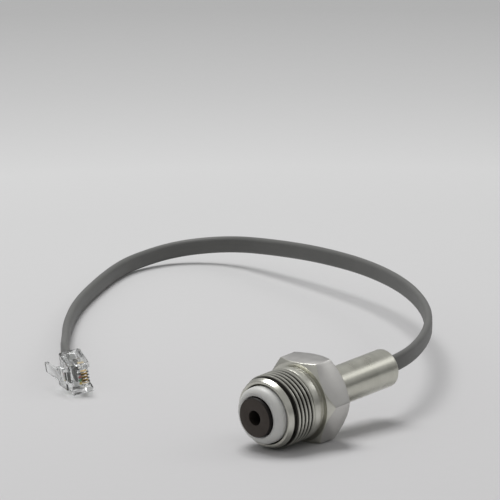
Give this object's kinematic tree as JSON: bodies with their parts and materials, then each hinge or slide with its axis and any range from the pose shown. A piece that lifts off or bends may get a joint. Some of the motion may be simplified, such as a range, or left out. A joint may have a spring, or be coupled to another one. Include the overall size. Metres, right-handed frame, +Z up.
{
  "type": "pressure sensor",
  "caption": "Threaded pressure sensor with a hexagon, a white seal ring round its ported tip, a plain rear sleeve and a flat grey lead that loops to a clear modular plug.",
  "frame": {"origin": "on the table, under the middle of the sensor without its lead", "axes": "+Z up; the sensor's nose points towards -X, tipped down by 4.5 degrees as it rests; the lead loops on the +Y side"},
  "size_m": [0.1741, 0.2032, 0.0247],
  "materials": {
    "turned_steel": "turned stainless steel, bright, fine turning marks",
    "tip_metal": "dull warm grey metal, fine circular marks",
    "seal_plastic": "smooth off-white plastic",
    "black_rubber": "black rubber",
    "nut_steel": "turned steel",
    "gauge_film": "amber film",
    "gauge_wire": "fine enamelled wire",
    "board_green": "green circuit board",
    "chip_black": "black moulded chip",
    "capacitor_tan": "tan ceramic",
    "potting_black": "cast resin",
    "core_black": "black insulation",
    "core_red": "red insulation",
    "core_green": "green insulation",
    "core_yellow": "yellow insulation",
    "lead_grey": "satin grey plastic jacket",
    "clear_plastic": "clear moulded plastic",
    "gold_contact": "gold-plated contact"
  },
  "bodies": {
    "root": {"threaded_body": "turned_steel", "rear_sleeve": "turned_steel", "seal_ring": "seal_plastic", "sensing_stem": "tip_metal", "stem_o_ring": "black_rubber", "stem_nut": "nut_steel", "strain_gauge": "gauge_film", "gauge_wires": "gauge_wire", "circuit_board": "board_green", "amplifier_chip": "chip_black", "board_capacitors": "capacitor_tan", "potting_plug": "potting_black", "cable_grommet": "black_rubber", "cable": "lead_grey", "plug_body": "clear_plastic", "board_core_black": "core_black", "plug_core_black": "core_black", "board_core_red": "core_red", "plug_core_red": "core_red", "board_core_green": "core_green", "plug_core_green": "core_green", "board_core_yellow": "core_yellow", "plug_core_yellow": "core_yellow", "contact_blade_1": "gold_contact", "contact_blade_2": "gold_contact", "contact_blade_3": "gold_contact", "contact_blade_4": "gold_contact"}
  },
  "joints": []
}
